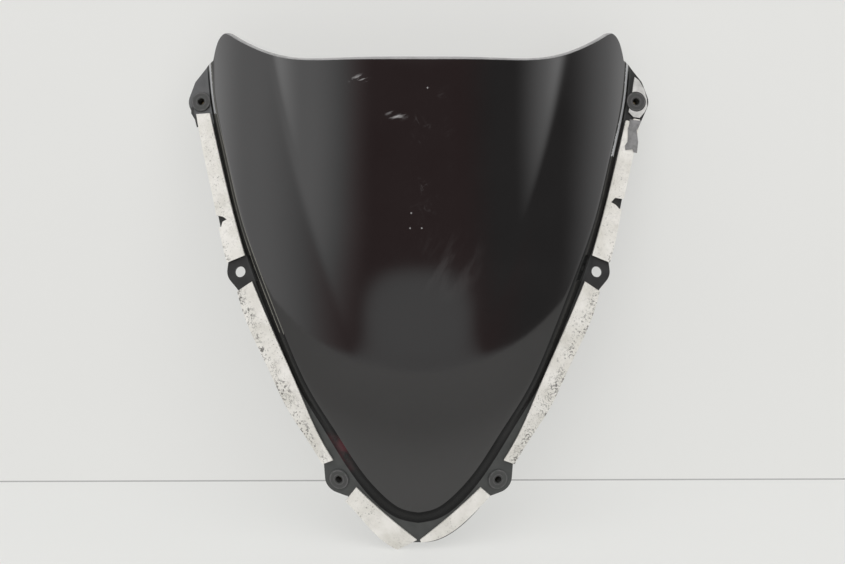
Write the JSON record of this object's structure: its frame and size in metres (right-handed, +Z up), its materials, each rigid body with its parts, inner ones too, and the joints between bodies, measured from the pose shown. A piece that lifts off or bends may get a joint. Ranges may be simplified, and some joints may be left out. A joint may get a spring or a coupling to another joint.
{
  "type": "windshield screen",
  "caption": "Smoked double-bubble windscreen for a sport motorcycle: one formed acrylic sheet with a stepped rim, screw tabs, rubber well nuts and strips of worn foam tape.",
  "frame": {"origin": "on the front face of the rim, midway between the two lower screw holes", "axes": "+Z up along the screen, -Y out of the convex outer face towards the oncoming air, +Y towards the rider, +X to the right when looking at the outer face"},
  "size_m": [0.4322, 0.1412, 0.4591],
  "materials": {
    "smoked_acrylic": "polished dark smoked acrylic with fine scuffs",
    "foam_tape": "off-white foam tape, dirty and worn",
    "tab_tape": "torn pale tape over a screw tab",
    "grey_tape": "torn grey tape",
    "dark_film": "dark curled film",
    "nut_rubber": "matte black rubber",
    "insert_brass": "dull turned brass"
  },
  "bodies": {
    "root": {"screen": "smoked_acrylic", "well_nut_upper_left": "nut_rubber", "well_nut_upper_right": "nut_rubber", "well_nut_lower_left": "nut_rubber", "well_nut_lower_right": "nut_rubber", "brass_insert_upper_left": "insert_brass", "brass_insert_upper_right": "insert_brass", "brass_insert_lower_left": "insert_brass", "brass_insert_lower_right": "insert_brass", "tape_upper_left": "foam_tape", "tape_upper_right": "foam_tape", "tape_lower_left": "foam_tape", "tape_lower_right": "foam_tape", "tape_point_left": "foam_tape", "tape_point_right": "foam_tape", "tape_on_tab_upper_right": "tab_tape", "torn_tape_scrap": "grey_tape", "film_curl": "dark_film"}
  },
  "joints": []
}
